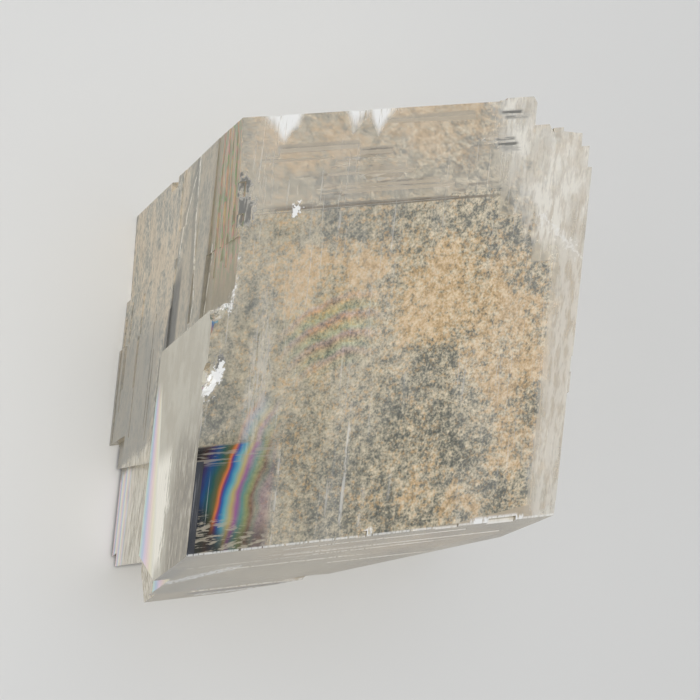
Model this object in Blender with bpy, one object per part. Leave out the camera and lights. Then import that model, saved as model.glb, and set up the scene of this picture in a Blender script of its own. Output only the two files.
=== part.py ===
"""Optical calcite (Iceland spar): one hand-sized cleavage block lying on its stained back face.

A calcite crystal splits along three sets of parallel planes that are never square to each
other, so the block is a rhombohedron and every ledge on it is a smaller rhomb taken out
along the same three directions. Only the breaks at the back and the corners ignore them.

Places on the block are given in millimetres along its own three edges:
    x  along the long edge of the front face, from the left face to the right face
    y  up the front face, from the bottom face to the top face
    z  depth behind the front face, down to the back face that the block lies on
The finished solid is in metres with +Z up and stands on Z = 0, centred on its own box.
"""

import math
import random

import bmesh
import bpy
from mathutils import Matrix, Vector

# Driving dimensions: the block before anything was split off, in millimetres
WIDTH = 85.2
HEIGHT = 84.6
DEPTH = 69.9
ACUTE_ANGLE = math.radians(78.08)

# Where the main cleavage planes lie
LEFT_LAYER_BACK = 35.2
LEFT_LAYER_TOP = 47.7
NOTCH_TOP = 61.2
LEFT_PLANE = 1.5
LEFT_REAR_PLANE = 1.9
LEFT_FOOT_PLANE = 3.9
TOP_PLANE = 84.0
FRONT_SLAB_BACK = 45.2
REAR_FOOT = 8.2

# The terraces of the upper left: how far in each lies, where it starts, and how deep it runs
FRONT_TERRACES = ((3.9, 57.2, 2.6), (3.4, 56.3, 5.1), (3.0, 58.1, 7.2), (2.5, 55.4, 10.1),
                  (2.0, 57.7, 13.6))

MILLIMETRE = 0.001
PAST = 6.0
GROOVE_SEED = 11
AXIS_NAMES = "xyz"
SAME_PLANE = 0.01


# The three edge directions. Two of them meet at an acute angle in every face, and at the
# lower right corner of the front face all three angles are obtuse.
cos_a = math.cos(ACUTE_ANGLE)
sin_a = math.sin(ACUTE_ANGLE)
ACROSS = Vector((1.0, 0.0, 0.0))
UPWARD = Vector((cos_a, sin_a, 0.0))
INWARD = Vector((cos_a, -cos_a * (1.0 + cos_a) / sin_a, 0.0))
INWARD.z = -math.sqrt(1.0 - INWARD.length_squared)
BACK_LEVEL = INWARD * DEPTH * MILLIMETRE


def cleavage_matrix():
    """Take millimetres along the block's edges to metres, with the back face at Z = 0."""
    matrix = Matrix((ACROSS, UPWARD, INWARD)).transposed().to_4x4()
    matrix = Matrix.Scale(MILLIMETRE, 4) @ matrix
    matrix.translation = Vector((0.0, 0.0, -BACK_LEVEL.z))
    return matrix


CLEAVAGE = cleavage_matrix()


def place(x, y, z):
    """A point of the block, in metres."""
    return CLEAVAGE @ Vector((x, y, z))


def clear_scene():
    for old in list(bpy.data.objects):
        bpy.data.objects.remove(old, do_unlink=True)


def new_collection(name):
    collection = bpy.data.collections.new(name)
    bpy.context.scene.collection.children.link(collection)
    return collection


def mesh_object(name, bm, collection, parent):
    mesh = bpy.data.meshes.new(name)
    bmesh.ops.recalc_face_normals(bm, faces=bm.faces)
    bm.to_mesh(mesh)
    bm.free()
    obj = bpy.data.objects.new(name, mesh)
    obj.parent = parent
    collection.objects.link(obj)
    return obj


def rhomb_bmesh(x, y, z):
    """A rhomb with its faces on the cleavage planes, between the given ends of x, y and z."""
    bm = bmesh.new()
    bmesh.ops.create_cube(bm, size=1.0)
    low = Vector((x[0], y[0], z[0]))
    high = Vector((x[1], y[1], z[1]))
    stretch = Matrix.Diagonal((*(high - low), 1.0))
    seat = Matrix.Translation((low + high) / 2.0)
    bmesh.ops.transform(bm, matrix=CLEAVAGE @ seat @ stretch, verts=bm.verts)
    return bm


def lean_side(bm, ranges, side, along, amount):
    """Lean one side of a rhomb, such as "z_low", by so many millimetres over its length."""
    moved_name, end = side.split("_")
    moved = AXIS_NAMES.index(moved_name)
    along = AXIS_NAMES.index(along)
    face = ranges[moved][end == "high"]
    start, stop = ranges[along]
    to_block = CLEAVAGE.inverted()
    for vert in bm.verts:
        at = to_block @ vert.co
        if abs(at[moved] - face) < SAME_PLANE:
            at[moved] += amount * (at[along] - start) / (stop - start)
            vert.co = CLEAVAGE @ at


class Block:
    """The crystal and everything that has been split off it."""

    def __init__(self, material):
        self.frame = bpy.data.objects.new("block_frame", None)
        self.parts = new_collection("optical_calcite")
        self.cutters = new_collection("split_off_pieces")
        self.parts.objects.link(self.frame)
        whole = rhomb_bmesh((0.0, WIDTH), (0.0, HEIGHT), (0.0, DEPTH))
        self.crystal = mesh_object("calcite_crystal", whole, self.parts, self.frame)
        self.crystal.data.materials.append(material)

    def subtract(self, cutter):
        cutter.hide_render = True
        cutter.display_type = "WIRE"
        boolean = self.crystal.modifiers.new(cutter.name, "BOOLEAN")
        boolean.operation = "DIFFERENCE"
        boolean.solver = "EXACT"
        boolean.object = cutter

    def split(self, name, x, y, z, slope=None):
        """Take out a rhomb; slope = (side, along, millimetres) leans one of its sides."""
        bm = rhomb_bmesh(x, y, z)
        if slope:
            lean_side(bm, (x, y, z), *slope)
        self.subtract(mesh_object(name, bm, self.cutters, self.frame))

    def scoop(self, name, at, radius, squeeze=(1.0, 1.0, 1.0)):
        """Take a shell-shaped flake: a ball, squeezed along the world's axes."""
        bm = bmesh.new()
        bmesh.ops.create_icosphere(bm, subdivisions=2, radius=radius * MILLIMETRE)
        seat = Matrix.Translation(at) @ Matrix.Diagonal((*squeeze, 1.0))
        bmesh.ops.transform(bm, matrix=seat, verts=bm.verts)
        self.subtract(mesh_object(name, bm, self.cutters, self.frame))

    def centre_on_box(self):
        """Move the frame so that the block's box is centred over the origin."""
        depsgraph = bpy.context.evaluated_depsgraph_get()
        solid = self.crystal.evaluated_get(depsgraph)
        corners = [solid.matrix_world @ Vector(corner) for corner in solid.bound_box]
        for axis in (0, 1):
            ends = [corner[axis] for corner in corners]
            self.frame.location[axis] = -(min(ends) + max(ends)) / 2.0


def calcite_material():
    material = bpy.data.materials.new("iceland_spar")
    material.use_nodes = True
    shader = material.node_tree.nodes["Principled BSDF"]
    shader.inputs["Base Color"].default_value = (0.66, 0.58, 0.44, 1.0)
    shader.inputs["Roughness"].default_value = 0.08
    shader.inputs["Metallic"].default_value = 0.0
    shader.inputs["IOR"].default_value = 1.6
    shader.inputs["Transmission Weight"].default_value = 0.85
    return material


def split_left_face(block):
    """Layers on the left: a proud one low in front, and a set back one low behind."""
    above = HEIGHT + PAST
    front = (-PAST, LEFT_LAYER_BACK + 0.7)
    behind = (LEFT_LAYER_BACK, DEPTH + PAST)
    left = -PAST
    # The front half: proud below the long ledge, and in a flight of terraces above it
    block.split("layer_above_ledge", (left, LEFT_PLANE), (LEFT_LAYER_TOP, above), front)
    for number, (plane, foot, back) in enumerate(FRONT_TERRACES):
        block.split(f"terrace_front_{number}", (left, plane), (foot, above), (-PAST, back),
                    slope=("x_high", "y", LEFT_PLANE - plane))
    block.split("terrace_middle", (left, 1.8), (50.0, 76.5), (15.0, 22.8), slope=("x_high", "y", -0.3))
    # The rear half is set back all the way up, most of all at both ends
    block.split("layer_behind_ledge", (left, 1.2), (-PAST, above), behind,
                slope=("x_high", "z", -0.7))
    block.split("rear_middle", (left, 1.35), (56.5, above), (LEFT_LAYER_BACK + 0.4, DEPTH + PAST),
                slope=("x_high", "z", -0.3))
    block.split("rear_upper", (left, LEFT_REAR_PLANE), (66.4, above), behind,
                slope=("x_high", "y", -1.0))
    block.split("rear_ridge", (left, 1.9), (72.0, above), (29.5, 37.1),
                slope=("x_high", "y", -0.9))
    block.split("rear_foot_lip", (left, 2.9), (20.0, 36.8), (59.0, DEPTH + PAST),
                slope=("y_high", "z", 0.8))
    block.split("rear_foot", (left, LEFT_FOOT_PLANE), (-PAST, 26.0), behind,
                slope=("y_high", "z", 7.4))
    block.split("rear_foot_heel", (left, 4.9), (-PAST, 14.4), (66.0, DEPTH + PAST))
    # A nick where the left face meets the top face
    block.split("top_edge_nick", (left, 2.9), (82.0, above), (40.6, 44.9))


def split_front_left_edge(block):
    """The notch half way up the front left edge, and the small losses beside it."""
    floor = LEFT_LAYER_TOP + 0.3
    block.split("notch", (-PAST, 2.2), (floor, NOTCH_TOP), (-PAST, 14.2))
    block.split("notch_slope", (-PAST, 5.6), (floor + 0.2, NOTCH_TOP - 0.2), (-PAST, 11.8),
                slope=("x_high", "z", -4.0))
    block.split("notch_step", (-PAST, 3.4), (floor + 0.9, 54.6), (-PAST, 8.6),
                slope=("x_high", "z", -1.6))
    block.split("upper_edge_flake_a", (-PAST, 4.7), (62.8, 65.4), (-PAST, 1.1))
    block.split("upper_edge_flake_b", (-PAST, 4.4), (68.6, 71.6), (-PAST, 1.3))
    block.scoop("bruise_low", place(-0.6, 34.2, -0.3), 3.2)
    block.scoop("bruise_ledge", place(0.2, 47.4, -0.2), 2.6)
    # The proud layer is broken away at its foot, and the tip of the block beside it
    block.split("layer_foot_break", (-PAST, LEFT_FOOT_PLANE), (-PAST, 0.0), (22.0, 41.0),
                slope=("y_high", "z", 11.2))
    block.split("tip_side", (-PAST, 6.8), (-PAST, 6.5), (37.5, 48.0),
                slope=("x_high", "y", -2.9))


def split_top_right_corner(block):
    """The stair of broken ledges where the top and right faces meet."""
    right = WIDTH + PAST
    top = HEIGHT + PAST
    block.split("stair_1", (70.3, right), (78.8, top), (-PAST, DEPTH + PAST))
    block.split("stair_2", (74.2, right), (78.0, top), (-PAST, 52.0))
    block.split("stair_3", (77.4, right), (77.2, top), (-PAST, 44.0),
                slope=("y_low", "x", -2.0))
    block.split("stair_4", (82.1, right), (73.9, top), (-PAST, 36.0))
    block.split("stair_5", (84.1, right), (69.6, top), (-PAST, 27.0))
    block.scoop("stair_hollow", place(76.2, 79.4, 9.0), 3.4, (1.4, 0.7, 1.0))
    block.scoop("stair_shell", place(86.2, 69.6, 6.0), 2.6, (0.7, 1.0, 1.5))
    block.split("right_edge_flake", (84.9, right), (28.6, 31.8), (-PAST, 6.0))
    block.split("right_lower_layer", (84.8, right), (-PAST, 24.5), (-PAST, DEPTH + PAST))
    block.split("right_corner_break", (86.6, right), (-PAST, 3.0), (-PAST, 24.0),
                slope=("x_low", "z", -9.6))


def split_top_face(block):
    """A thin layer is left at the right of the top face; the rest is stepped and pitted."""
    top = HEIGHT + PAST
    block.split("top_layer", (-PAST, 61.4), (TOP_PLANE, top), (-PAST, DEPTH + PAST))
    block.split("top_layer_lip", (60.0, 63.0), (TOP_PLANE + 0.2, top), (-PAST, 30.0))
    block.split("top_step_wide", (9.5, 26.0), (83.5, top), (33.0, DEPTH + PAST))
    block.split("top_step_long", (13.0, 31.5), (83.1, top), (25.0, 29.4),
                slope=("z_high", "x", 1.4))
    block.split("top_step_back", (31.0, 58.0), (83.4, top), (60.5, DEPTH + PAST))
    hollows = (
        ("hollow_high_right", (66.4, 8.6), 1.9),
        ("hollow_low_right", (64.0, 28.3), 2.0),
        ("hollow_middle", (32.5, 33.9), 2.1),
        ("hollow_wide", (39.2, 50.0), 2.9),
        ("hollow_low_left", (26.4, 56.8), 1.6),
        ("hollow_left", (19.4, 46.3), 1.3),
    )
    for name, (across, deep), radius in hollows:
        block.scoop(name, place(across, TOP_PLANE + 0.17, deep), radius, (1.9, 0.6, 1.0))
    block.scoop("top_bruise_left", place(9.5, 85.7, 0.2), 2.6, (2.4, 0.7, 1.0))
    block.scoop("top_bruise_right", place(28.4, 85.4, 0.2), 2.2, (2.2, 0.7, 1.0))
    block.split("top_right_bevel", (69.3, 75.0), (84.6, top), (-PAST, 9.0),
                slope=("y_low", "x", -7.4))


def split_bottom_and_back(block):
    """The back of the block is broken away below, and the break runs out to the right."""
    below = -PAST
    right = WIDTH + PAST
    behind = DEPTH + PAST
    block.split("rear_foot_loss", (-PAST, right), (below, REAR_FOOT),
                (FRONT_SLAB_BACK, behind), slope=("y_high", "z", 5.2))
    block.split("break_left", (24.0, right), (below, 7.6), (FRONT_SLAB_BACK + 0.3, 62.0),
                slope=("z_low", "x", -20.8))
    block.split("break_right", (36.0, right), (below, 6.4), (42.6, 60.0),
                slope=("z_low", "x", -32.2))
    block.split("bottom_lip", (14.0, 37.0), (below, 0.6), (38.4, 39.6),
                slope=("y_high", "x", -0.5))
    block.split("bottom_edge_flake_a", (69.0, 75.5), (below, 0.8), (-PAST, 1.5))
    block.split("bottom_edge_flake_b", (38.5, 40.6), (below, 1.1), (-PAST, 0.8))
    block.split("bottom_edge_flake_c", (56.6, 62.0), (below, 0.5), (-PAST, 1.0))
    block.scoop("bottom_bruise", place(41.0, -1.3, 38.0), 2.6, (2.6, 1.0, 0.8))


def split_back_face(block):
    """The face that the block lies on: flat, with one clean corner and a ledge at the top."""
    behind = DEPTH + PAST
    block.split("clean_flake", (-PAST, 22.0), (-PAST, 36.9), (DEPTH - 0.7, behind),
                slope=("x_high", "y", 2.0))
    block.split("back_top_ledge", (12.0, 60.0), (82.7, 90.0), (DEPTH - 0.8, behind),
                slope=("y_low", "x", 0.5))
    block.split("back_low_ledge", (52.0, 71.0), (5.0, 17.0), (DEPTH - 0.9, behind))
    block.split("back_corner_loss", (79.5, 90.0), (71.0, 90.0), (DEPTH - 9.0, behind),
                slope=("y_low", "z", -4.0))


def groove(block, draw, face, index, along, across, depth_range):
    """One cleavage line: a shallow groove along a face that fades out at one of its ends."""
    low, high = along
    length = draw.uniform(0.25, 0.8) * (high - low)
    start = draw.uniform(low, high - length)
    at = draw.uniform(*across)
    broad = draw.uniform(0.35, 1.1)
    deep = draw.uniform(*depth_range)
    fade = draw.choice((-1.0, 1.0)) * deep * 1.2
    run = (start, start + length)
    band = (at, at + broad)
    name = f"{face}_line_{index:02d}"
    if face == "left_rear":
        block.split(name, (-PAST, 0.9 + deep), run, band, slope=("x_high", "y", fade))
    elif face == "right":
        block.split(name, (WIDTH - deep, WIDTH + PAST), run, band, slope=("x_low", "y", fade))
    elif face == "bottom":
        block.split(name, run, (-PAST, deep), band, slope=("y_high", "x", fade))
    else:
        block.split(name, run, (TOP_PLANE - deep, HEIGHT + PAST), band,
                    slope=("y_low", "x", fade))


def groove_faces(block):
    """Fine parallel lines, which are what makes a cleaved face look silky."""
    draw = random.Random(GROOVE_SEED)
    bands = (
        ("left_rear", 9, (28.0, 82.0), (37.0, 68.0), (0.45, 0.75)),
        ("right", 16, (4.0, 70.0), (3.0, 67.0), (0.25, 0.8)),
        ("bottom", 9, (4.0, 78.0), (2.0, 24.0), (0.15, 0.4)),
        ("top", 8, (4.0, 60.0), (6.0, 66.0), (0.2, 0.5)),
    )
    for face, count, along, across, depth_range in bands:
        for index in range(count):
            groove(block, draw, face, index, along, across, depth_range)


def main():
    clear_scene()
    block = Block(calcite_material())
    split_left_face(block)
    split_front_left_edge(block)
    split_top_right_corner(block)
    split_top_face(block)
    split_bottom_and_back(block)
    split_back_face(block)
    groove_faces(block)
    block.centre_on_box()


main()
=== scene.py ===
import math

import bmesh
import bpy
from mathutils import Matrix, Vector


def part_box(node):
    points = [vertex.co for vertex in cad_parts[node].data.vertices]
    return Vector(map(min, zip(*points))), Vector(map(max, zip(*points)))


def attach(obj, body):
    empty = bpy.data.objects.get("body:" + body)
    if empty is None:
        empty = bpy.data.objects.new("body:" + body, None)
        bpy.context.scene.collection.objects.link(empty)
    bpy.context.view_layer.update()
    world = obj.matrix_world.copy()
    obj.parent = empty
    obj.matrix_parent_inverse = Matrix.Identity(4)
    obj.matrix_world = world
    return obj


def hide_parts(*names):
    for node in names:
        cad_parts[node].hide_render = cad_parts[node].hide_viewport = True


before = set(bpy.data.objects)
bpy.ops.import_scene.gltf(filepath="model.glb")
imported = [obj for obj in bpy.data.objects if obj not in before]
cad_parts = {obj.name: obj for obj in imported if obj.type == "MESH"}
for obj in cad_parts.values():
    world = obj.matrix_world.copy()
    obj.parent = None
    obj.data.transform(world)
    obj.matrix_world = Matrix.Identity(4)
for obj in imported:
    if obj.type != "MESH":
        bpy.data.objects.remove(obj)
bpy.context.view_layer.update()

# --- The block's edges ---------------------------------------------------------------------------
# Iceland spar splits along three directions only. Every ledge, scratch and stain is placed by its
# distance in millimetres along them: across and up the front face, and down from it to the back.
EDGE_ANGLE = math.radians(78.08)
FRONT_HEIGHT = 84.6
BLOCK_DEPTH = 69.9
MILLIMETRE = 0.001

box_low, box_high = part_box("calcite_crystal")
across = Vector((1, 0, 0))
up = Vector((math.cos(EDGE_ANGLE), math.sin(EDGE_ANGLE), 0))
lean = math.cos(EDGE_ANGLE) * (1 + math.cos(EDGE_ANGLE)) / math.sin(EDGE_ANGLE)
down = Vector((math.cos(EDGE_ANGLE), -lean, 0))
down.z = -math.sqrt(1 - down.length_squared)
front_corner = Vector((box_low[0], box_high[1] - FRONT_HEIGHT * MILLIMETRE * up.y, box_high[2]))

edge_directions = Matrix((across, up, down)).transposed().to_4x4()
to_world = Matrix.Translation(front_corner) @ edge_directions @ Matrix.Scale(MILLIMETRE, 4)
to_edges = to_world.inverted()


# --- The camera ----------------------------------------------------------------------------------
# A long lens looks down on the front face from the left, with the block's upper edge at the top.
# It is aimed at the block's middle and then slips aside a little. Its distances are in metres.
BLOCK_MIDDLE = (42.7516, 42.1159, 34.9392)
VIEW_TURN = math.radians(-93.5787)
VIEW_HEIGHT = math.radians(57.5779)
VIEW_ROLL = math.radians(89.0493)
VIEW_DISTANCE = 1.07539
SLIP_RIGHT = 0.00154
SLIP_UP = 0.00272
FRAME_WIDTH = 0.140
SENSOR_WIDTH = 36
NEAREST_SEEN = 0.05


def put_in_scene(name, data):
    """A new object in the scene, at the origin."""
    thing = bpy.data.objects.new(name, data)
    bpy.context.scene.collection.objects.link(thing)
    return thing


towards = Vector((math.sin(VIEW_TURN) * math.cos(VIEW_HEIGHT),
                  -math.cos(VIEW_TURN) * math.cos(VIEW_HEIGHT),
                  math.sin(VIEW_HEIGHT)))
level_right = Vector((0, 0, 1)).cross(towards).normalized()
level_up = towards.cross(level_right)
image_right = math.cos(VIEW_ROLL) * level_right + math.sin(VIEW_ROLL) * level_up
image_up = -math.sin(VIEW_ROLL) * level_right + math.cos(VIEW_ROLL) * level_up
eye = to_world @ Vector(BLOCK_MIDDLE) + towards * VIEW_DISTANCE
eye += image_right * SLIP_RIGHT + image_up * SLIP_UP

camera_data = bpy.data.cameras.new("camera")
camera_data.sensor_width = SENSOR_WIDTH
camera_data.lens = SENSOR_WIDTH * VIEW_DISTANCE / FRAME_WIDTH
camera_data.clip_start = NEAREST_SEEN
camera = put_in_scene("camera", camera_data)
camera_axes = Matrix((image_right, image_up, towards)).transposed().to_4x4()
camera.matrix_world = Matrix.Translation(eye) @ camera_axes
bpy.context.scene.camera = camera


# --- The clear block -----------------------------------------------------------------------------
# One cleavage block of clear calcite. Its faces are split, not cut or polished: the front is
# glossy and hazed by scratches, and the other sides are frosted by thousands of fine steps.
SIDES = ("front", "back", "left", "right", "top", "bottom")
SIDE_MARGIN = 0.5
CALCITE_INDEX = 1.60
DEPTH_TINT = (0.93, 0.88, 0.76)
DEPTH_TINT_PER_METRE = 2.0
LAMP_TINT = (0.86, 0.85, 0.83)
RIB_HEIGHT = 0.15
RIB_STRENGTH = 0.6
WELD_DISTANCE = 0.01
CLEAR_WHITE = (0.985, 0.98, 0.965)

# Colour ramps that run over a face run from 0 to this, which is longer than any edge.
FACE_SPAN = 90.0


class Finish:
    """A material under construction. Coats go on over its first colour, as paint or frost would."""

    def __init__(self, name, colour, clear, rough):
        self.material = bpy.data.materials.new(name)
        self.material.use_nodes = True
        self.tree = self.material.node_tree
        self.tree.nodes.clear()
        self.colour = colour
        self.clear = clear
        self.rough = rough
        self.place = self.edge_place()
        split = self.add("ShaderNodeSeparateXYZ", self.place)
        self.x, self.y, self.z = split.outputs

    def add(self, kind, *inputs):
        """A new node with its first inputs linked or set."""
        node = self.tree.nodes.new(kind)
        for socket, value in zip(node.inputs, inputs):
            self.plug(socket, value)
        return node

    def plug(self, socket, value):
        """Links a socket to another node's output, or sets it to a number or a colour."""
        if isinstance(value, bpy.types.NodeSocket):
            self.tree.links.new(value, socket)
        elif socket.type == "RGBA":
            socket.default_value = (*value, 1)
        else:
            socket.default_value = value

    def vector(self, operation, first, second):
        """An operation on two places or directions."""
        node = self.add("ShaderNodeVectorMath", first, second)
        node.operation = operation
        return node.outputs["Value" if operation in ("DOT_PRODUCT", "DISTANCE") else "Vector"]

    def maths(self, operation, *values):
        """An operation on one, two or three numbers."""
        node = self.add("ShaderNodeMath", *values)
        node.operation = operation
        return node.outputs[0]

    def times(self, *values):
        """The product of several masks."""
        product = values[0]
        for value in values[1:]:
            product = self.maths("MULTIPLY", product, value)
        return product

    def total(self, *shares):
        """The sum of several values, each given with its share."""
        parts = [self.times(value, share) for value, share in shares]
        total = parts[0]
        for part in parts[1:]:
            total = self.maths("ADD", total, part)
        return total

    def most(self, *values):
        """The strongest of several masks."""
        strongest = values[0]
        for value in values[1:]:
            strongest = self.maths("MAXIMUM", strongest, value)
        return strongest

    def between(self, value, low, high, to_low=0.0, to_high=1.0):
        """value eased from to_low, where it is low, to to_high, where it is high."""
        node = self.add("ShaderNodeMapRange", value, low, high, to_low, to_high)
        node.interpolation_type = "SMOOTHSTEP"
        return node.outputs[0]

    def band(self, value, low, high, soft):
        """1 where value lies from low to high, fading out over soft at each end."""
        return self.times(self.between(value, low - soft, low), self.between(value, high + soft, high))

    def edge_place(self):
        """The place in millimetres along the block's own three directions."""
        here = self.add("ShaderNodeTexCoord").outputs["Object"]
        from_corner = self.vector("SUBTRACT", here, tuple(front_corner))
        ways = [self.vector("DOT_PRODUCT", from_corner, tuple(row)) for row in to_edges.to_3x3()]
        return self.add("ShaderNodeCombineXYZ", *ways).outputs[0]

    def grain(self, size, detail, rough=0.55, stretch=(1, 1, 1), shift=0.0, colour=False):
        """Noise with lumps of about size millimetres, drawn out along the block's directions."""
        drawn = self.vector("DIVIDE", self.place, stretch)
        moved = self.vector("ADD", drawn, (shift, shift, shift))
        node = self.add("ShaderNodeTexNoise")
        self.plug(node.inputs["Vector"], moved)
        self.plug(node.inputs["Scale"], 1 / size)
        self.plug(node.inputs["Detail"], detail)
        self.plug(node.inputs["Roughness"], rough)
        return node.outputs["Color" if colour else "Fac"]

    def shaken(self, size, detail, rough, reach):
        """The place, shaken to and fro by noise, which makes the edges of marks ragged."""
        noise = self.grain(size, detail, rough, colour=True)
        wander = self.vector("SUBTRACT", noise, (0.5, 0.5, 0.5))
        return self.vector("ADD", self.place, self.vector("MULTIPLY", wander, reach))

    def blend(self, amount, first, second):
        """Two colours or two numbers mixed by a mask. The node has a pair of sockets for each kind."""
        node = self.add("ShaderNodeMix", amount)
        a_number = isinstance(second, float) or getattr(second, "type", "") == "VALUE"
        node.data_type = "FLOAT" if a_number else "RGBA"
        first_socket, second_socket = (2, 3) if a_number else (6, 7)
        self.plug(node.inputs[first_socket], first)
        self.plug(node.inputs[second_socket], second)
        return node.outputs[0 if a_number else 2]

    def coat(self, cover, colour=None, clear=None, rough=None):
        """Lays a colour, clearness or roughness over what is there, as thick as cover says."""
        if colour is not None:
            self.colour = self.blend(cover, self.colour, colour)
        if clear is not None:
            self.clear = self.blend(cover, self.clear, clear)
        if rough is not None:
            self.rough = self.blend(cover, self.rough, rough)

    def spots(self, place, marks, soft):
        """1 inside any of the round marks, each given as across, up, down and radius."""
        masks = []
        for x, y, z, radius in marks:
            far = self.vector("DISTANCE", place, (x, y, z))
            masks.append(self.between(far, radius, radius * (1 - soft)))
        return self.most(*masks)

    def stroke(self, place, start, end, width, soft):
        """1 along a straight mark from start to end, both given as across, up and down."""
        run = Vector(end) - Vector(start)
        from_start = self.vector("SUBTRACT", place, start)
        part = self.vector("DOT_PRODUCT", from_start, tuple(run / run.length_squared))
        held = self.add("ShaderNodeClamp", part).outputs[0]
        held_three_ways = self.add("ShaderNodeCombineXYZ", held, held, held).outputs[0]
        nearest = self.vector("MULTIPLY", held_three_ways, tuple(run))
        far = self.vector("DISTANCE", from_start, nearest)
        return self.between(far, width / 2 + soft, width / 2)

    def course(self, value, *points):
        """A number that follows straight runs through points, each given as value and number."""
        node = self.ramp(self.maths("DIVIDE", value, FACE_SPAN),
                         [(at / FACE_SPAN, (number / FACE_SPAN,) * 3) for at, number in points])
        return self.maths("MULTIPLY", node, FACE_SPAN)

    def scores(self, value, along, marks, soft, ends):
        """Fine lines at set values, each given as value, start, end, half width and strength."""
        stops = []
        for at, start, end, half_width, strength in sorted(marks):
            for where, share in ((at - half_width - soft, 0), (at - half_width, strength),
                                 (at + half_width, strength), (at + half_width + soft, 0)):
                stops.append((where / FACE_SPAN, (share, start / FACE_SPAN, end / FACE_SPAN)))
        drawn = self.ramp(self.maths("DIVIDE", value, FACE_SPAN), stops)
        share, start, end = self.add("ShaderNodeSeparateColor", drawn).outputs
        way = self.maths("DIVIDE", along, FACE_SPAN)
        fade = ends / FACE_SPAN
        after_start = self.between(self.maths("SUBTRACT", way, start), -fade, fade)
        before_end = self.between(self.maths("SUBTRACT", end, way), -fade, fade)
        return self.times(share, after_start, before_end)

    def ramp(self, value, stops):
        """Colours along a value from 0 to 1."""
        node = self.add("ShaderNodeValToRGB", value)
        points = node.color_ramp.elements
        while len(points) < len(stops):
            points.new(1.0)
        for point, (where, colour) in zip(points, stops):
            point.position = where
            point.color = (*colour, 1)
        return node.outputs[0]

    def bump(self, height, depth, strength):
        """Small relief, depth metres high."""
        node = self.add("ShaderNodeBump")
        self.plug(node.inputs["Height"], height)
        self.plug(node.inputs["Strength"], strength)
        self.plug(node.inputs["Distance"], depth)
        return node.outputs[0]

    def shader(self, index, normal=None):
        """The surface with all the coats laid so far."""
        node = self.add("ShaderNodeBsdfPrincipled")
        self.plug(node.inputs["Base Color"], self.colour)
        self.plug(node.inputs["Roughness"], self.rough)
        self.plug(node.inputs["Transmission Weight"], self.clear)
        node.inputs["IOR"].default_value = index
        if normal is not None:
            self.plug(node.inputs["Normal"], normal)
        return node.outputs[0]

    def output(self, surface, volume=None):
        """The finished material."""
        node = self.add("ShaderNodeOutputMaterial", surface)
        if volume is not None:
            self.plug(node.inputs["Volume"], volume)
        return self.material


class CleavedFinish(Finish):
    """The clear block's finish: a mask for each side, and the grains that several sides share."""

    def __init__(self):
        super().__init__("clear_calcite", CLEAR_WHITE, 1.0, 0.0)
        side = self.add("ShaderNodeAttribute")
        side.attribute_name = "side"
        masks = [self.maths("COMPARE", side.outputs["Fac"], float(number), SIDE_MARGIN)
                 for number in range(len(SIDES))]
        self.front, self.back, self.left, self.right, self.top, self.bottom = masks

        # Treads of the left terraces face front, but are frosted as the left is.
        left_treads = self.times(self.front, self.between(self.z, 2.0, 2.4),
                                 self.between(self.x, 20.0, 10.0))
        self.left = self.most(self.left, left_treads)

        # Streaks run up the faces, as the fine steps do, and cross lines run across them.
        self.ragged = self.shaken(1.1, 2, 0.55, (3.0, 7.0, 3.0))
        self.streaks = self.grain(1.4, 3, 0.65, stretch=(1, 4, 1))
        self.fine_streaks = self.grain(0.5, 2, 0.6, stretch=(1, 9, 1), shift=2.4)
        self.patches = self.grain(5, 4, 0.6, stretch=(1, 2, 1), shift=3.1)
        self.clouds = self.grain(12, 2, 0.6, stretch=(1, 2, 1), shift=9.2)
        self.cross_lines = self.grain(0.8, 3, 0.65, stretch=(9, 1, 1))
        self.fine_grain = self.grain(0.7, 3, 0.75, stretch=(1, 2, 1), shift=11.3)


# Long scratches, each given as across, lower end, upper end, half width and strength.
SCRATCHES = ((26.6, 59.4, 64.3, 0.12, 0.35), (45.0, 54.6, 63.1, 0.12, 0.3), (33.9, 2.6, 25.4, 0.15, 0.5),
             (38.5, 1.4, 9.4, 0.35, 0.3), (44.6, 7.1, 12.6, 0.2, 0.25), (67.8, 58.7, 63.0, 0.25, 0.4),
             (18.6, 0.4, 17.9, 0.15, 0.35))
HAZE_CREAM = (0.86, 0.83, 0.74)
SCRATCH_CREAM = (0.86, 0.84, 0.78)


def haze_front(spar):
    """A thin haze on the front, but for its lower left, and scratches that run up the face."""
    window = spar.times(spar.between(spar.x, 18.0, 14.0), spar.between(spar.y, 24.0, 19.0))
    haze = spar.maths("ADD", spar.between(spar.clouds, 0.36, 0.66, 0.045, 0.135),
                      spar.between(spar.y, 63.0, 68.0, 0.0, 0.10))
    haze = spar.most(spar.maths("SUBTRACT", haze, spar.times(window, 0.14)), 0.0)
    spar.coat(spar.times(spar.front, haze), HAZE_CREAM, 0.0)
    worn = spar.times(spar.band(spar.x, 10.5, 13.0, 2.5), spar.band(spar.y, 26.0, 42.0, 12.0),
                      spar.between(spar.fine_streaks, 0.3, 0.6))
    scratches = spar.scores(spar.x, spar.y, SCRATCHES, soft=0.3, ends=2.0)
    scratches = spar.times(scratches, spar.between(spar.streaks, 0.36, 0.56))
    hairs = spar.between(spar.grain(0.35, 1, stretch=(1, 45, 1), shift=5.5), 0.60, 0.74)
    hairs = spar.times(hairs, spar.between(spar.clouds, 0.42, 0.58), 0.25)
    lines = spar.most(spar.times(worn, 0.25), scratches, hairs)
    spar.coat(spar.times(lines, spar.front), SCRATCH_CREAM, 0.0)


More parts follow.
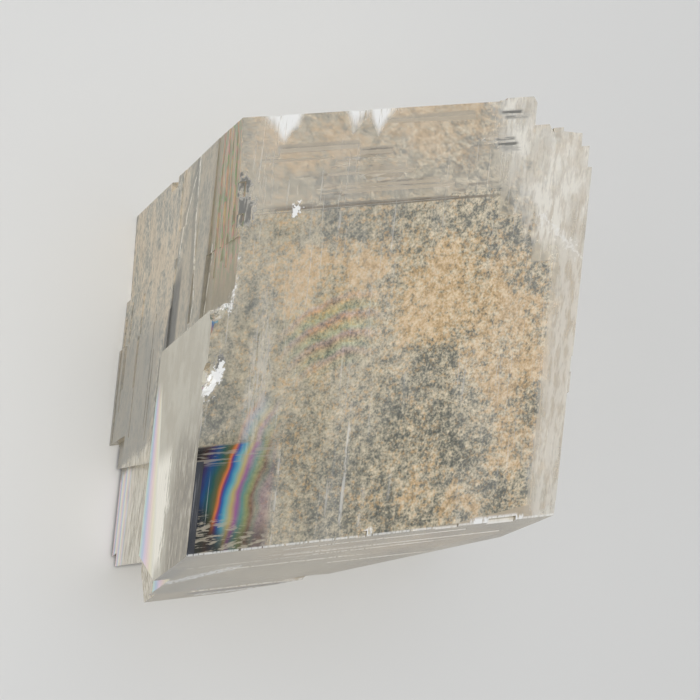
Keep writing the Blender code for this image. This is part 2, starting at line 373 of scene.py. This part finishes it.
ARC_CENTRE = (34.0, 18.0, 0.0)
ARC_SPACING = 3.6
ARC_COLOURS = ((0.0, (0.66, 0.96, 0.72)), (0.3, (1.0, 0.92, 0.58)), (0.5, (1.0, 0.60, 0.46)),
               (0.7, (0.88, 0.62, 0.82)), (1.0, (0.66, 0.96, 0.72)))


def fringe_front(spar):
    """Faint rainbow arcs where a crack runs close under the front."""
    far = spar.vector("DISTANCE", spar.place, ARC_CENTRE)
    wavy_far = spar.maths("ADD", far, spar.times(spar.patches, 3.0))
    turn = spar.maths("FRACT", spar.maths("DIVIDE", wavy_far, ARC_SPACING))
    arcs = spar.times(spar.spots(spar.place, ((27.0, 42.0, 0, 14.0),), soft=0.8),
                      spar.band(far, 18.0, 29.0, 3.0), spar.front)
    spar.coat(spar.times(arcs, 0.8), spar.ramp(turn, ARC_COLOURS))


FROST_CREAM = (0.90, 0.87, 0.78)
DOT_GREY = (0.40, 0.40, 0.34)


def frost_corner(spar):
    """Frost along the right edge and over the broken upper right corner, with grey dots in it."""
    edge = spar.maths("ADD", spar.x, spar.times(spar.patches, 6.0))
    edge_frost = spar.times(spar.between(edge, 79.0, 84.0), spar.between(spar.y, 62.0, 54.0), 0.5)
    slant = spar.maths("ADD", edge, spar.times(spar.y, 0.42))
    corner = spar.times(spar.between(slant, 95.0, 102.0), spar.between(spar.y, 50.0, 58.0),
                        spar.between(spar.patches, 0.60, 0.42, 0.40, 0.85))
    frost = spar.times(spar.most(edge_frost, corner), spar.front,
                       spar.between(spar.streaks, 0.38, 0.58, 0.4, 1.0))
    spar.coat(frost, FROST_CREAM, 0.0)
    dots = spar.times(corner, spar.front, spar.between(spar.streaks, 0.56, 0.68),
                      spar.between(spar.patches, 0.46, 0.54))
    spar.coat(spar.times(dots, 0.7), DOT_GREY, 0.0)


LEFT_COLOURS = ((0.41, (0.22, 0.22, 0.195)), (0.47, (0.38, 0.365, 0.31)),
                (0.51, (0.52, 0.485, 0.40)), (0.57, (0.74, 0.69, 0.57)))
LEFT_RUST = (0.62, 0.48, 0.32)
LEFT_GREY = (0.32, 0.31, 0.27)
REAR_GREY = (0.31, 0.305, 0.275)
BAND_TAUPE = (0.34, 0.315, 0.25)
EDGE_BROWN = (0.30, 0.26, 0.185)
EDGE_TINTS = ((0.40, EDGE_BROWN), (0.46, (0.22, 0.50, 0.24)), (0.53, (0.66, 0.30, 0.35)),
              (0.60, (0.62, 0.50, 0.28)))


def frost_left(spar):
    """The left: frosted by fine steps drawn out up the face, rust and grey showing through."""
    level = spar.total((spar.fine_grain, 0.55), (spar.streaks, 0.2), (spar.patches, 0.25))
    spar.coat(spar.left, spar.ramp(level, LEFT_COLOURS), 0.08, 0.35)
    rust = spar.between(spar.total((spar.patches, 0.6), (spar.fine_grain, 0.4)), 0.44, 0.56)
    spar.coat(spar.times(spar.left, rust, 0.5), LEFT_RUST)
    grey = spar.between(spar.fine_streaks, 0.54, 0.72)
    spar.coat(spar.times(spar.left, grey, 0.3), LEFT_GREY)

    # Darker bands: low on the rear half, and above the proud layer, brownest by its front edge.
    lower_rear = spar.times(spar.left, spar.between(spar.z, 37.0, 44.0),
                            spar.band(spar.y, 30.0, 52.0, 10.0))
    spar.coat(spar.times(lower_rear, 0.75), REAR_GREY)
    above_layer = spar.times(spar.left, spar.between(spar.z, 34.0, 31.0),
                             spar.between(spar.y, 46.5, 50.5))
    spar.coat(spar.times(above_layer, 0.5), BAND_TAUPE)
    front_edge = spar.times(above_layer, spar.between(spar.z, 16.0, 13.0))
    spar.coat(spar.times(front_edge, 0.75), EDGE_BROWN, 0.15)
    tinted = spar.times(front_edge, spar.between(spar.z, 15.0, 8.0), spar.between(spar.y, 50.0, 62.0))
    spar.coat(spar.times(tinted, 0.7), spar.ramp(spar.fine_streaks, EDGE_TINTS))


# The edge of the shade behind the proud layer, as up and down.
GAP_EDGE = ((34, 39.5), (50, 38.3), (67, 34.6))
# Terrace edges on the left, each given as lower end, upper end and points, as up and down.
TERRACES = ((46.0, 84.0, ((46.9, 22.4), (54.4, 21.2), (71.0, 24.7), (83.2, 25.9))),
            (66.0, 82.0, ((67.7, 34.3), (74.2, 32.7), (78.2, 29.4), (82.3, 26.2))),
            (48.0, 62.0, ((48.6, 13.6), (54.3, 13.1), (61.7, 11.9))))
GAP_GREY = (0.105, 0.108, 0.105)
HOLLOW_SHADE_BROWN = (0.17, 0.165, 0.14)


def step_left(spar):
    """Shade in the gap behind the proud layer, and at each terrace painted shade in a hollow beside a
    white ridge.
    """
    behind_layer = spar.between(spar.maths("SUBTRACT", spar.course(spar.y, *GAP_EDGE), spar.z), -0.6, 1.2)
    shade = spar.times(spar.left, spar.between(spar.z, 30.2, 31.8), behind_layer,
                       spar.band(spar.y, 32.0, 60.0, 7.0))
    spar.coat(spar.times(shade, 0.9), GAP_GREY, 0.1)
    for low, high, points in TERRACES:
        aside = spar.maths("SUBTRACT", spar.z, spar.course(spar.y, *points))
        reach = spar.times(spar.band(spar.y, low, high, 2.0), spar.left)
        # Painted shade in the hollow below each terrace edge.
        hollow_shade = spar.times(spar.band(aside, 0.8, 2.0, 0.9), reach)
        spar.coat(spar.times(hollow_shade, 0.5), HOLLOW_SHADE_BROWN)
        ridge = spar.times(spar.band(aside, -0.1, 0.2, 0.35), reach,
                           spar.between(spar.fine_grain, 0.36, 0.54))
        spar.coat(spar.times(ridge, 0.8), HAZE_CREAM, 0.0)


FOOT_RIBS_AND_GLINTS = ((0.38, (0.42, 0.39, 0.31)), (0.47, (0.66, 0.62, 0.51)),
                (0.53, (0.80, 0.75, 0.63)), (0.60, (0.98, 0.94, 0.83)))
FRINGE_SPACING = 3.2


def pale_colours(finish, along):
    """The colours of a thin film of air, washed out by frost, as along goes from 0 to 1."""
    return finish.ramp(along, (
        (0.00, (0.55, 0.80, 0.72)), (0.18, (0.45, 0.60, 0.85)), (0.36, (0.80, 0.60, 0.80)),
        (0.55, (0.90, 0.70, 0.66)), (0.75, (0.92, 0.86, 0.62)), (1.00, (0.93, 0.92, 0.85))))


def brighten_foot(spar):
    """The foot of the rear half: clean, bright and ribbed, its palest streaks painted glints, with faint
    rainbows at its back.
    """
    ragged_top = spar.maths("ADD", spar.y, spar.times(spar.streaks, 6.0))
    foot = spar.times(spar.left, spar.between(spar.z, 35.8, 36.4), spar.between(ragged_top, 34.5, 32.5))
    # Ribs, their palest streaks painted glints where light would catch them.
    spar.coat(foot, spar.ramp(spar.fine_streaks, FOOT_RIBS_AND_GLINTS), 0.4, 0.05)
    turn = spar.maths("FRACT", spar.maths("DIVIDE", spar.z, FRINGE_SPACING))
    spar.coat(spar.times(foot, spar.between(spar.z, 57.0, 65.0), 0.9), pale_colours(spar, turn), 0.1)


LAYER_REAR = 34.8
LAYER_GREY = (0.56, 0.53, 0.435)
LAYER_TAUPE = (0.42, 0.38, 0.295)
LAYER_SHADES = ((0.40, (0.17, 0.145, 0.10)), (0.54, (0.27, 0.235, 0.17)), (0.66, (0.50, 0.46, 0.37)))
LAYER_REFLECTION_WHITE = (0.97, 0.93, 0.81)


def smooth_layer(spar):
    """The proud layer on the left's lower front half: smooth, with a painted reflection of the left lamp
    and a rainbow down its rear edge.
    """
    layer = spar.times(spar.left, spar.between(spar.z, LAYER_REAR + 0.4, LAYER_REAR),
                       spar.between(spar.y, 48.5, 47.8))
    spar.coat(layer, LAYER_GREY, 0.1, 0.15)
    spar.coat(spar.times(layer, spar.between(spar.patches, 0.42, 0.60), 0.6), LAYER_TAUPE)
    low_front = spar.times(layer, spar.between(spar.z, 19.0, 12.0), spar.between(spar.y, 34.0, 18.0))
    spar.coat(spar.times(low_front, 0.9), spar.ramp(spar.streaks, LAYER_SHADES), 0.05)
    # A painted reflection: a bright patch on the layer where the left lamp would be mirrored.
    ragged_depth = spar.maths("ADD", spar.z, spar.times(spar.streaks, 14.0))
    painted_reflection = spar.times(layer, spar.band(spar.y, 5.0, 22.0, 5.0), spar.between(ragged_depth, 25.0, 27.0))
    spar.coat(painted_reflection, LAYER_REFLECTION_WHITE, 0.0)
    rainbow_start = spar.maths("ADD", spar.times(spar.y, 0.22), 22.2)
    way = spar.maths("DIVIDE", spar.maths("SUBTRACT", LAYER_REAR, spar.z),
                     spar.maths("SUBTRACT", LAYER_REAR, rainbow_start))
    rainbow = spar.times(layer, spar.between(way, 1.05, 0.9), spar.between(spar.y, 42.0, 36.0), 0.9)
    spar.coat(rainbow, pale_colours(spar, way), 0.1)


BOTTOM_COLOURS = ((0.38, (0.31, 0.27, 0.195)), (0.47, (0.41, 0.36, 0.265)),
                  (0.53, (0.49, 0.435, 0.325)), (0.62, (0.62, 0.56, 0.44)))
# White flakes on the bottom, each given as start, end, width and softness.
FLAKES = (((5.3, 0, 25.6), (16.5, 0, 17.8), 0.8, 2.6), ((17.0, 0, 43.2), (34.0, 0, 43.4), 0.2, 1.2),
          ((37.0, 0, 41.6), (50.0, 0, 39.8), 0.6, 1.8))
LINE_BROWN = (0.08, 0.065, 0.05)
FLAKE_WHITE = (0.97, 0.96, 0.93)


def line_bottom(spar):
    """The bottom: taupe, with one dark line along its length and white flakes beside it."""
    level = spar.total((spar.cross_lines, 0.25), (spar.patches, 0.3), (spar.clouds, 0.45))
    spar.coat(spar.bottom, spar.ramp(level, BOTTOM_COLOURS), 0.5, 0.14)
    dark_line = spar.times(spar.band(spar.z, 40.6, 41.6, 0.5), spar.band(spar.x, 15.0, 36.0, 2.0),
                           spar.between(spar.cross_lines, 0.34, 0.46))
    spar.coat(spar.times(dark_line, spar.bottom, 0.9), LINE_BROWN, 0.0)
    flattened = spar.vector("MULTIPLY", spar.ragged, (1.0, 0.0, 1.0))
    flakes = spar.most(*[spar.stroke(flattened, *flake) for flake in FLAKES])
    flakes = spar.times(flakes, spar.bottom, spar.between(spar.fine_grain, 0.38, 0.58))
    spar.coat(spar.between(flakes, 0.2, 0.38), FLAKE_WHITE, 0.0)


RIGHT_COLOURS = ((0.44, (0.98, 0.955, 0.89)), (0.66, (0.86, 0.82, 0.74)))


def rib_right(spar):
    """The right: milky cream, ribbed up its height."""
    spar.coat(spar.right, spar.ramp(spar.streaks, RIGHT_COLOURS), 0.45, 0.25)


# Short ledges across the top, each given as down, left end, right end, half width and strength.
TOP_LEDGES = ((24.8, 13.0, 31.0, 0.3, 0.8), (31.0, 32.0, 40.0, 1.8, 1.0), (44.9, 20.5, 26.5, 1.2, 0.9),
              (50.4, 38.0, 42.5, 2.0, 1.0), (56.8, 43.0, 50.0, 2.0, 1.0), (62.4, 29.0, 35.0, 1.2, 0.9))
TOP_CREAM = (0.97, 0.93, 0.78)
TOP_RUST = (0.62, 0.43, 0.24)
LEDGE_BROWN = (0.15, 0.12, 0.075)


def ledge_top(spar):
    """The top: nearly clear, so that it mirrors the stained back, with short brown ledges on it."""
    milky = spar.between(spar.clouds, 0.35, 0.65, 0.28, 0.46)
    spar.coat(spar.times(spar.top, milky), TOP_CREAM, 0.0)
    rust_patch = spar.times(spar.top, spar.band(spar.x, 57.0, 61.5, 1.5),
                            spar.band(spar.z, 34.0, 52.0, 5.0), spar.between(spar.fine_grain, 0.36, 0.58))
    spar.coat(spar.times(rust_patch, 0.7), TOP_RUST, 0.2)
    ledges = spar.scores(spar.z, spar.x, TOP_LEDGES, soft=0.6, ends=0.8)
    ledges = spar.times(ledges, spar.top, spar.between(spar.patches, 0.36, 0.52, 0.3, 0.9),
                        spar.between(spar.cross_lines, 0.36, 0.50, 0.2, 1.0))
    spar.coat(ledges, LEDGE_BROWN, 0.0)


TREAD_COLOURS = ((0.44, (0.97, 0.94, 0.87)), (0.66, (0.78, 0.74, 0.65)))
UNDERSIDE_BROWN = (0.42, 0.35, 0.25)
UNDER_LAYER_SHADE_BLACK = (0.008, 0.014, 0.03)


def frost_treads(spar):
    """The treads of the broken corner, and the undersides of ledges, which are frosted, with painted
    shade under the proud layer.
    """
    treads = spar.times(spar.front, spar.between(spar.z, 0.8, 1.2), spar.between(spar.x, 40.0, 60.0))
    spar.coat(treads, spar.ramp(spar.streaks, TREAD_COLOURS), 0.1, 0.35)
    undersides = spar.times(spar.back, spar.between(spar.z, BLOCK_DEPTH - 1.2, BLOCK_DEPTH - 2))
    spar.coat(undersides, UNDERSIDE_BROWN, 0.15, 0.3)
    # Painted shade: black under the proud layer, standing in for the dark seen through it there.
    under_layer_shade = spar.times(undersides, spar.between(spar.z, 38.0, 36.5), spar.between(spar.x, 8.0, 6.0))
    spar.coat(under_layer_shade, UNDER_LAYER_SHADE_BLACK, 0.0)


# Dark scars by the left edge, each given as across, up, down and radius.
SCARS = ((3.1, 70.8, 0, 2.6), (3.9, 65.6, 0, 3.6), (2.6, 36.8, 0, 1.4))
# Dark marks by the broken corner, each given as up, left end, right end, half width and strength.
CORNER_MARKS = ((74.3, 63.0, 67.4, 0.12, 0.8), (75.3, 61.6, 66.6, 0.3, 1.0), (76.5, 61.2, 65.8, 0.2, 0.9),
                (80.8, 62.8, 68.6, 0.2, 0.9), (81.7, 61.8, 67.0, 0.3, 1.0))
SCAR_GREY = (0.09, 0.09, 0.08)


def scar_front(spar):
    """Dark scars and marks on the front, where steps inside turn the light away."""
    scars = spar.times(spar.spots(spar.ragged, SCARS, soft=0.35),
                       spar.between(spar.fine_streaks, 0.34, 0.46))
    marks = spar.times(spar.scores(spar.y, spar.x, CORNER_MARKS, soft=0.3, ends=0.6),
                       spar.between(spar.cross_lines, 0.38, 0.50))
    spar.coat(spar.times(spar.most(scars, marks), spar.front, 0.85), SCAR_GREY, 0.0)


# White spots on and beside the left edge, each given as across, up, down and radius.
BRUISES = ((1.9, 34.2, 0, 2.8), (0.8, 32.2, 0.5, 2.4), (3.0, 35.6, 0, 1.5), (2.2, 49.6, 0, 3.0),
           (1.9, 54.0, 0, 2.3), (0.8, 57.6, 0, 1.5), (16.5, 65.3, 0, 1.6))
# How far white wedges reach in from the top edge, as across and reach.
WEDGE_REACH = ((5.5, 0), (8.2, 2.6), (9.2, 2.8), (12.0, 6.2), (16.4, 0), (24.4, 0), (27.5, 4.6),
               (31.2, 2.4), (33.4, 5.4), (38.0, 0))
TOP_EDGE = 84.8
CRUSHED_WHITE = (0.93, 0.93, 0.91)


def bruise_edges(spar):
    """White, crushed spots where the edges were knocked, drawn out up the face."""
    bruises = spar.between(spar.spots(spar.ragged, BRUISES, soft=1.0), 0.05, 0.45)
    reach = spar.course(spar.x, *WEDGE_REACH)
    waver = spar.times(spar.maths("SUBTRACT", spar.patches, 0.5), 6.0)
    inward = spar.maths("ADD", spar.maths("SUBTRACT", TOP_EDGE, spar.y), waver)
    wedges = spar.times(spar.between(spar.maths("SUBTRACT", inward, reach), 0.6, -2.8),
                        spar.between(reach, 0.0, 1.2), spar.between(spar.fine_streaks, 0.22, 0.46))
    rim = spar.times(spar.between(spar.y, 0.55, 0.25), spar.between(spar.fine_streaks, 0.3, 0.5), 0.6)
    chips = spar.most(
        spar.stroke(spar.place, (65.5, 0.4, 0), (76.5, 0.4, 0), 0.6, 0.9),
        spar.stroke(spar.place, (39.8, 0.3, 0), (41.2, 1.0, 0), 0.6, 0.7),
        spar.times(spar.stroke(spar.ragged, (74.0, 60.6, 0), (84.5, 52.0, 0), 0.3, 0.8), 0.5),
        spar.times(spar.stroke(spar.ragged, (3.4, 58.0, 0), (3.8, 47.5, 0), 0.6, 0.9), 0.8))
    chips = spar.times(chips, spar.between(spar.streaks, 0.36, 0.48))
    crushed = spar.most(bruises, spar.times(spar.most(wedges, rim, chips), spar.front))
    spar.coat(crushed, CRUSHED_WHITE, 0.0)


def calcite_finish():
    """Every coat on the clear block, from the lowest to the topmost."""
    spar = CleavedFinish()
    for lay in (haze_front, fringe_front, frost_corner, frost_left, step_left, brighten_foot,
                smooth_layer, line_bottom, rib_right, ledge_top, frost_treads, scar_front, bruise_edges):
        lay(spar)
    ribbed = spar.times(spar.streaks, spar.most(spar.left, spar.right, spar.bottom))

    # Light on its way to a lamp goes straight through, so the block's shadow stays as pale as glass's.
    body = spar.shader(CALCITE_INDEX, spar.bump(ribbed, RIB_HEIGHT * MILLIMETRE, RIB_STRENGTH))
    to_lamps = spar.add("ShaderNodeBsdfTransparent", LAMP_TINT).outputs[0]
    lamp_ray = spar.add("ShaderNodeLightPath").outputs["Is Shadow Ray"]
    surface = spar.add("ShaderNodeMixShader", lamp_ray, body, to_lamps).outputs[0]
    depth_tint = spar.add("ShaderNodeVolumeAbsorption", DEPTH_TINT, DEPTH_TINT_PER_METRE).outputs[0]
    return spar.output(surface, depth_tint)


block_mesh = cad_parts["calcite_crystal"].data.copy()
block_mesh.name = "calcite_block"
block_mesh.materials.clear()
block_mesh.materials.append(calcite_finish())
block = put_in_scene("calcite_block", block_mesh)

# Every face is marked with the number of the side that it looks out from most nearly.
front_out = across.cross(up).normalized()
left_out = up.cross(down).normalized()
top_out = across.cross(down).normalized()
outward = (front_out, -front_out, left_out, -left_out, top_out, -top_out)

block_shape = bmesh.new()
block_shape.from_mesh(block_mesh)
bmesh.ops.remove_doubles(block_shape, verts=block_shape.verts, dist=WELD_DISTANCE * MILLIMETRE)
side_layer = block_shape.faces.layers.float.new("side")
for face in block_shape.faces:
    face.normal_update()
    face[side_layer] = max(range(len(SIDES)), key=lambda number: outward[number].dot(face.normal))
    face.smooth = False
    face.material_index = 0
block_shape.to_mesh(block_mesh)
block_shape.free()

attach(block, "root")
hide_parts("calcite_crystal")


# --- The stained back ----------------------------------------------------------------------------
# A film of rusty iron oxide and grey dust that coats the back face. It is seen through the whole
# depth of the block. In the lower left corner the back is clean, and a crack there shows rainbows.
FILM_LIFT = 0.10
FILM_THICKNESS = 0.06
FILM_INSET = 0.03
BACK_REACH = 1.2
STRAIGHT_DOWN = -0.99
STAIN_INDEX = 1.15
STAIN_ROUGHNESS = 0.8

# Grey-beige dust, thin over the dark in places, and rust in flecks and clumps through it.
DUST_COLOURS = ((0.35, (0.08, 0.09, 0.08)), (0.43, (0.18, 0.185, 0.16)), (0.49, (0.38, 0.36, 0.29)),
                (0.55, (0.55, 0.50, 0.39)), (0.64, (0.80, 0.73, 0.60)))
RUST_COLOURS = ((0.35, (0.26, 0.20, 0.12)), (0.43, (0.43, 0.31, 0.165)), (0.49, (0.57, 0.41, 0.235)),
                (0.55, (0.66, 0.50, 0.32)), (0.66, (0.80, 0.68, 0.51)))

# Where rust lies thickest, and where the back is nearly bare and dark: across, up and radius.
RUSTY_PLACES = ((26, 70, 12), (40, 68, 13), (57, 62, 21), (71, 60, 19), (79, 46, 14), (80, 32, 10),
                (69, 19, 6), (56, 22, 5))
BARE_PLACES = ((57, 48, 9), (50, 40, 11), (60, 36, 10), (67, 28, 12), (33, 79, 9), (44, 77, 8),
               (74, 76, 12), (82, 66, 9), (83, 42, 9), (7, 43, 8), (38, 25, 13), (77, 21, 8),
               (14, 64, 7), (50, 18, 9), (26, 34, 11))


def dust_and_rust(stain):
    """Dust and rust. Their grain is faint at the left, and coarser towards the right."""
    ragged = stain.shaken(7, 4, 0.65, (30, 30, 0))
    rusty = stain.spots(ragged, [(x, y, BLOCK_DEPTH, far) for x, y, far in RUSTY_PLACES], soft=1.0)
    bare = stain.spots(ragged, [(x, y, BLOCK_DEPTH, far) for x, y, far in BARE_PLACES], soft=1.0)
    speck = stain.grain(0.55, 3, 0.75)
    clump = stain.grain(2.0, 3, 0.65, shift=4.2)
    fleck = stain.grain(0.9, 3, 0.7, shift=8.8)
    drift = stain.grain(9, 3, 0.6, shift=15.1)
    grain = stain.maths("SUBTRACT", stain.maths("ADD", speck, clump), 1.0)
    coarseness = stain.between(stain.x, 14.0, 75.0, 0.62, 1.4)
    level = stain.maths("ADD", stain.times(grain, coarseness, 0.45), 0.45)
    level = stain.maths("ADD", level, stain.total((drift, 0.1), (rusty, 0.035), (bare, -0.055)))
    stain.colour = stain.ramp(level, DUST_COLOURS)
    rusting = stain.between(stain.total((fleck, 0.7), (drift, 0.3), (rusty, 0.16)), 0.50, 0.66)
    stain.coat(rusting, stain.ramp(level, RUST_COLOURS))


WINDOW_RIGHT = 22.5
WINDOW_TOP = 36.5
WINDOW_BLACK = (0.012, 0.014, 0.016)
WINDOW_SHADE = (0.05, 0.05, 0.045)
CRACK_CREAM = (0.50, 0.47, 0.40)
STEP_GREY = (0.40, 0.38, 0.35)


def film_colours(finish, along):
    """The colours of a thin film of air, through two orders, as along goes from 0 to 1."""
    return finish.ramp(along, (
        (0.00, (0.012, 0.010, 0.010)), (0.08, (0.045, 0.022, 0.018)), (0.14, (0.03, 0.028, 0.13)),
        (0.20, (0.01, 0.07, 0.22)), (0.27, (0.02, 0.10, 0.09)), (0.33, (0.13, 0.12, 0.04)),
        (0.37, (0.66, 0.19, 0.06)), (0.40, (0.16, 0.04, 0.20)), (0.43, (0.02, 0.12, 0.42)),
        (0.49, (0.12, 0.40, 0.52)), (0.56, (0.50, 0.42, 0.17)), (0.62, (0.32, 0.12, 0.34)),
        (0.69, (0.09, 0.28, 0.28)), (0.75, (0.26, 0.32, 0.13)), (0.80, (0.20, 0.09, 0.07)),
        (0.85, (0.20, 0.26, 0.25)), (0.91, (0.30, 0.19, 0.30)), (1.00, (0.36, 0.22, 0.28))))


def clean_corner(stain):
    """The rainbow window: fringes lean with the edge, over a dark lower end with white cracks."""
    x, y = stain.x, stain.y
    window = stain.times(stain.between(x, WINDOW_RIGHT + 1.0, WINDOW_RIGHT - 1.0),
                         stain.between(y, WINDOW_TOP + 0.5, WINDOW_TOP - 0.2))
    waver = stain.times(stain.maths("SUBTRACT", stain.grain(7, 2), 0.5), 3.0)
    slip = stain.maths("ADD", stain.times(stain.maths("SUBTRACT", y, 28.0), 0.16), waver)
    high = stain.most(stain.maths("SUBTRACT", y, 26.0), 0.0)
    slip = stain.maths("ADD", slip, stain.times(high, high, 0.012))
    way = stain.maths("DIVIDE", stain.maths("SUBTRACT", stain.maths("SUBTRACT", x, slip), 3.0), 20.0)
    fringes = film_colours(stain, way)
    stain.coat(stain.times(window, stain.between(x, 14.0, 22.0, 1.0, 0.45)), fringes)

    dark_edge = stain.maths("ADD", x, stain.times(stain.maths("SUBTRACT", y, 20.0), 0.6))
    dark_end = stain.times(window, stain.between(y, 28.0, 23.0), stain.between(dark_edge, 12.0, 8.0))
    stain.coat(stain.times(dark_end, 0.92), WINDOW_BLACK)
    stain.coat(stain.times(window, stain.between(y, 22.0, 17.0), 0.6), WINDOW_SHADE)
    crack_place = stain.between(stain.maths("ADD", y, stain.times(x, 0.3)), 27.0, 22.5)
    cracks = stain.between(stain.grain(0.6, 3, 0.6, stretch=(5, 1, 1), shift=3.3), 0.50, 0.60)
    stain.coat(stain.times(window, crack_place, cracks, 0.75), CRACK_CREAM)
    steps = stain.between(stain.grain(0.5, 2, stretch=(10, 1, 1), shift=6.1), 0.52, 0.62)
    stain.coat(stain.times(window, stain.between(y, 32.2, 33.4), steps, 0.6), STEP_GREY)

    above = stain.times(stain.spots(stain.place, ((17.5, 40.0, BLOCK_DEPTH, 8.0),), soft=0.9),
                        stain.between(y, WINDOW_TOP - 0.5, WINDOW_TOP + 0.5), 0.4)
    stain.coat(above, fringes)


EDGE_CRACK_BROWN = (0.12, 0.09, 0.05)


def crack_edge(stain):
    """A brown crack beside the top edge."""
    wavy = stain.maths("ADD", stain.y, stain.times(stain.grain(3, 2, stretch=(4, 1, 1)), 0.5))
    crack = stain.times(stain.band(wavy, 83.3, 83.6, 0.25), stain.between(stain.x, 12.0, 20.0),
                        stain.between(stain.x, 74.0, 66.0))
    stain.coat(stain.times(crack, 0.85), EDGE_CRACK_BROWN)


def stain_finish():
    """Every coat on the film. Its first colour is the dust's."""
    stain = Finish("iron_stain", None, 0.0, STAIN_ROUGHNESS)
    for lay in (dust_and_rust, clean_corner, crack_edge):
        lay(stain)
    return stain.output(stain.shader(STAIN_INDEX))


# The film is cut from the block's own back faces, at both of their levels.
film_shape = bmesh.new()
film_shape.from_mesh(block_mesh)
not_back = [face for face in film_shape.faces
            if face.normal.z > STRAIGHT_DOWN or face.calc_center_median().z > BACK_REACH * MILLIMETRE]
bmesh.ops.delete(film_shape, geom=not_back, context="FACES")
rim = bmesh.ops.inset_region(film_shape, faces=film_shape.faces[:], thickness=FILM_INSET * MILLIMETRE)
bmesh.ops.delete(film_shape, geom=rim["faces"], context="FACES")
bmesh.ops.translate(film_shape, verts=film_shape.verts, vec=down * (FILM_LIFT * MILLIMETRE / down.z))
bmesh.ops.solidify(film_shape, geom=film_shape.faces[:], thickness=FILM_THICKNESS * MILLIMETRE)
film_mesh = bpy.data.meshes.new("iron_stain")
film_shape.to_mesh(film_mesh)
film_shape.free()
film_mesh.materials.append(stain_finish())
film = put_in_scene("iron_stain", film_mesh)

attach(film, "root")


# --- Studio --------------------------------------------------------------------------------------
# A plain pale table, a big soft lamp overhead, a second one from the left, and an even pale room.
# The table lies a hair below the block, so that the two never share a plane. Sizes are in metres.
FLOOR_SIZE = 6.0
FLOOR_DROP = 0.00005
TABLE_GREY = (0.78, 0.78, 0.77)
TABLE_INDEX = 1.45
TABLE_ROUGHNESS = 0.9
ROOM_WHITE = (0.95, 0.97, 1.0)
ROOM_STRENGTH = 0.25

floor_shape = bmesh.new()
bmesh.ops.create_grid(floor_shape, x_segments=1, y_segments=1, size=FLOOR_SIZE / 2)
bmesh.ops.translate(floor_shape, verts=floor_shape.verts, vec=(0, 0, -FLOOR_DROP))
floor_mesh = bpy.data.meshes.new("floor")
floor_shape.to_mesh(floor_mesh)
floor_shape.free()
floor_finish = Finish("pale_table", TABLE_GREY, 0.0, TABLE_ROUGHNESS)
floor_mesh.materials.append(floor_finish.output(floor_finish.shader(TABLE_INDEX)))
floor = put_in_scene("floor", floor_mesh)


def soft_lamp(name, place, size, power):
    """A round lamp that faces the block."""
    lamp_data = bpy.data.lights.new(name, "AREA")
    lamp_data.shape = "DISK"
    lamp_data.size = size
    lamp_data.energy = power
    lamp = put_in_scene(name, lamp_data)
    lamp.location = place
    lamp.rotation_euler = Vector(place).to_track_quat("Z", "Y").to_euler()


soft_lamp("overhead_lamp", (-0.2, 0.28, 1.3), size=1.3, power=11)
soft_lamp("left_lamp", (-1.3, 0.2, 0.6), size=1.5, power=8)

room = bpy.data.worlds.new("room")
room.use_nodes = True
room_light = room.node_tree.nodes["Background"]
room_light.inputs["Color"].default_value = (*ROOM_WHITE, 1)
room_light.inputs["Strength"].default_value = ROOM_STRENGTH
bpy.context.scene.world = room
bpy.context.scene.view_settings.view_transform = "Standard"
